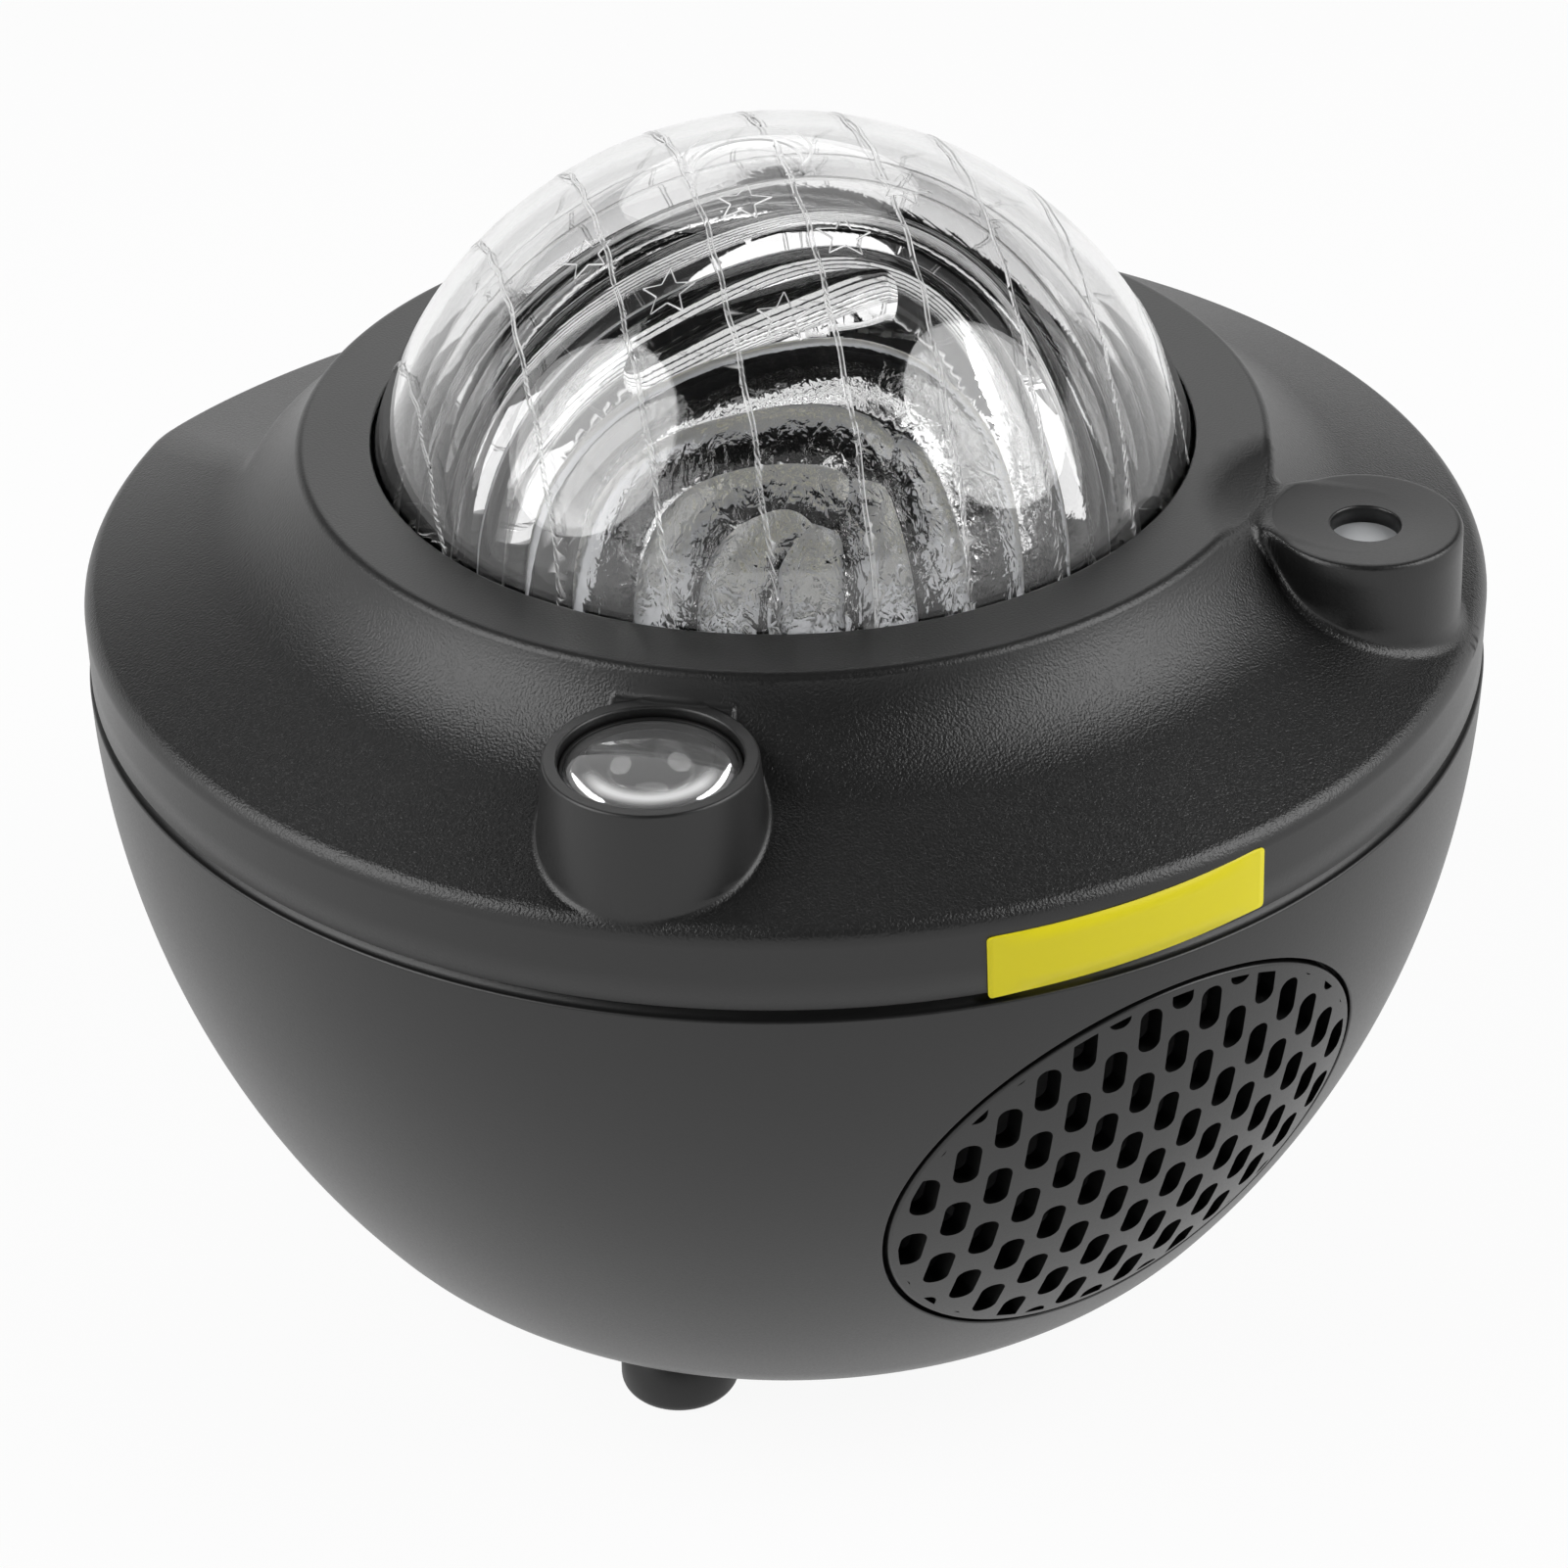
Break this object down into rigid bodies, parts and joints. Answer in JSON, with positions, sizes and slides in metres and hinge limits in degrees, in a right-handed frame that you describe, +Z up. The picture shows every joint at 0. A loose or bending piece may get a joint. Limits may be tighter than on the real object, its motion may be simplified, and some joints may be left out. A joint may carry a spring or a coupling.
{
  "type": "star night light projector",
  "caption": "Bowl-shaped night light with a clear dome over a turning ripple dome, a picture projector, a laser star projector, a speaker behind a slotted grille and push buttons.",
  "frame": {"origin": "on the floor, in the middle between the feet, under the middle of the dome", "axes": "+Z up, the speaker faces -Y and the buttons are at +Y"},
  "size_m": [0.168, 0.168, 0.1472],
  "materials": {
    "black_housing": "fine satin texture",
    "clear_plastic": "clear and polished",
    "black_inner_plastic": "matt",
    "white_plastic": "smooth",
    "screw_steel": "zinc plated",
    "motor_can": "smooth",
    "heat_sink_metal": "raw",
    "white_board": "smooth",
    "green_board": "smooth",
    "led_lens": "clear dome on a white base",
    "picture_film": "coloured film",
    "frosted_window": "frosted",
    "laser_brass": "smooth",
    "grating_film": "ruled film",
    "rubber": "matt",
    "speaker_steel": "satin",
    "speaker_paper": "paper",
    "foam": "soft",
    "yellow_film": "printed film",
    "chip_plastic": "smooth",
    "capacitor_sleeve": "smooth",
    "socket_plastic": "smooth",
    "button_plastic": "satin"
  },
  "bodies": {
    "housing": {"top_cover": "black_housing", "bottom_bowl": "black_housing", "outer_dome": "clear_plastic", "dome_clamp_ring": "black_inner_plastic", "clamp_screws": "screw_steel", "gear_retainer": "black_inner_plastic", "chassis_plate": "black_inner_plastic", "chassis_screws": "screw_steel", "case_screws": "screw_steel", "ripple_motor": "motor_can", "motor_screws": "screw_steel", "heat_sink": "heat_sink_metal", "led_board": "white_board", "color_leds": "led_lens", "led_screws": "screw_steel", "projection_lens": "clear_plastic", "lens_ring": "black_inner_plastic", "lens_barrel": "black_inner_plastic", "picture_slide": "picture_film", "condenser_lens": "clear_plastic", "picture_led_board": "white_board", "picture_led": "led_lens", "picture_heat_sink": "heat_sink_metal", "laser_window": "frosted_window", "laser_module": "laser_brass", "laser_holder": "heat_sink_metal", "grating_bush": "white_plastic", "grating_motor": "motor_can", "speaker_grille": "black_housing", "speaker_gasket": "foam", "speaker_basket": "speaker_steel", "speaker_screws": "screw_steel", "speaker_surround": "rubber", "speaker_cone": "speaker_paper", "speaker_magnet": "speaker_steel", "yellow_sticker": "yellow_film", "button_board": "green_board", "button_switches": "chip_plastic", "button_screws": "screw_steel", "main_board": "green_board", "board_screws": "screw_steel", "main_chips": "chip_plastic", "capacitors": "capacitor_sleeve", "wire_sockets": "socket_plastic", "power_jack": "black_inner_plastic", "front_left_foot": "rubber", "front_right_foot": "rubber", "rear_left_foot": "rubber", "rear_right_foot": "rubber"},
    "ripple_rotor": {"ripple_dome": "clear_plastic", "ripple_gear": "white_plastic"},
    "ripple_motor_shaft": {"motor_pinion": "white_plastic"},
    "grating_rotor": {"grating_gear": "white_plastic", "grating_disc": "grating_film"},
    "grating_motor_shaft": {"grating_pinion": "white_plastic"},
    "power_button": {"power_button": "button_plastic"},
    "light_button": {"light_button": "button_plastic"},
    "volume_down_button": {"volume_down_button": "button_plastic"},
    "volume_up_button": {"volume_up_button": "button_plastic"}
  },
  "joints": [
    {"name": "ripple_spin", "type": "hinge", "parent": "housing", "child": "ripple_rotor", "pos_m": [0, 0, 0.098], "axis": [0, 0, 1], "continuous": true},
    {"name": "ripple_motor_spin", "type": "hinge", "parent": "housing", "child": "ripple_motor_shaft", "pos_m": [0.051, 0, 0.098], "axis": [0, 0, 1], "continuous": true},
    {"name": "grating_spin", "type": "hinge", "parent": "housing", "child": "grating_rotor", "pos_m": [0.04684, -0.05202, 0.098], "axis": [0, 0, 1], "continuous": true},
    {"name": "grating_motor_spin", "type": "hinge", "parent": "housing", "child": "grating_motor_shaft", "pos_m": [0.04001, -0.04444, 0.098], "axis": [0, 0, 1], "continuous": true},
    {"name": "power_button_press", "type": "slide", "parent": "housing", "child": "power_button", "axis": [0, -0.2672, -0.9636], "range_m": [0, 0.0006], "stiffness_N_per_m": 600, "springref_m": -0.0005},
    {"name": "light_button_press", "type": "slide", "parent": "housing", "child": "light_button", "axis": [0, -0.2672, -0.9636], "range_m": [0, 0.0006], "stiffness_N_per_m": 600, "springref_m": -0.0005},
    {"name": "volume_down_button_press", "type": "slide", "parent": "housing", "child": "volume_down_button", "axis": [0, -0.2672, -0.9636], "range_m": [0, 0.0006], "stiffness_N_per_m": 600, "springref_m": -0.0005},
    {"name": "volume_up_button_press", "type": "slide", "parent": "housing", "child": "volume_up_button", "axis": [0, -0.2672, -0.9636], "range_m": [0, 0.0006], "stiffness_N_per_m": 600, "springref_m": -0.0005}
  ],
  "couplings": [
    {"joint": "ripple_motor_spin", "follows": "ripple_spin", "ratio": -7.5},
    {"joint": "grating_motor_spin", "follows": "grating_spin", "ratio": -2.4}
  ]
}
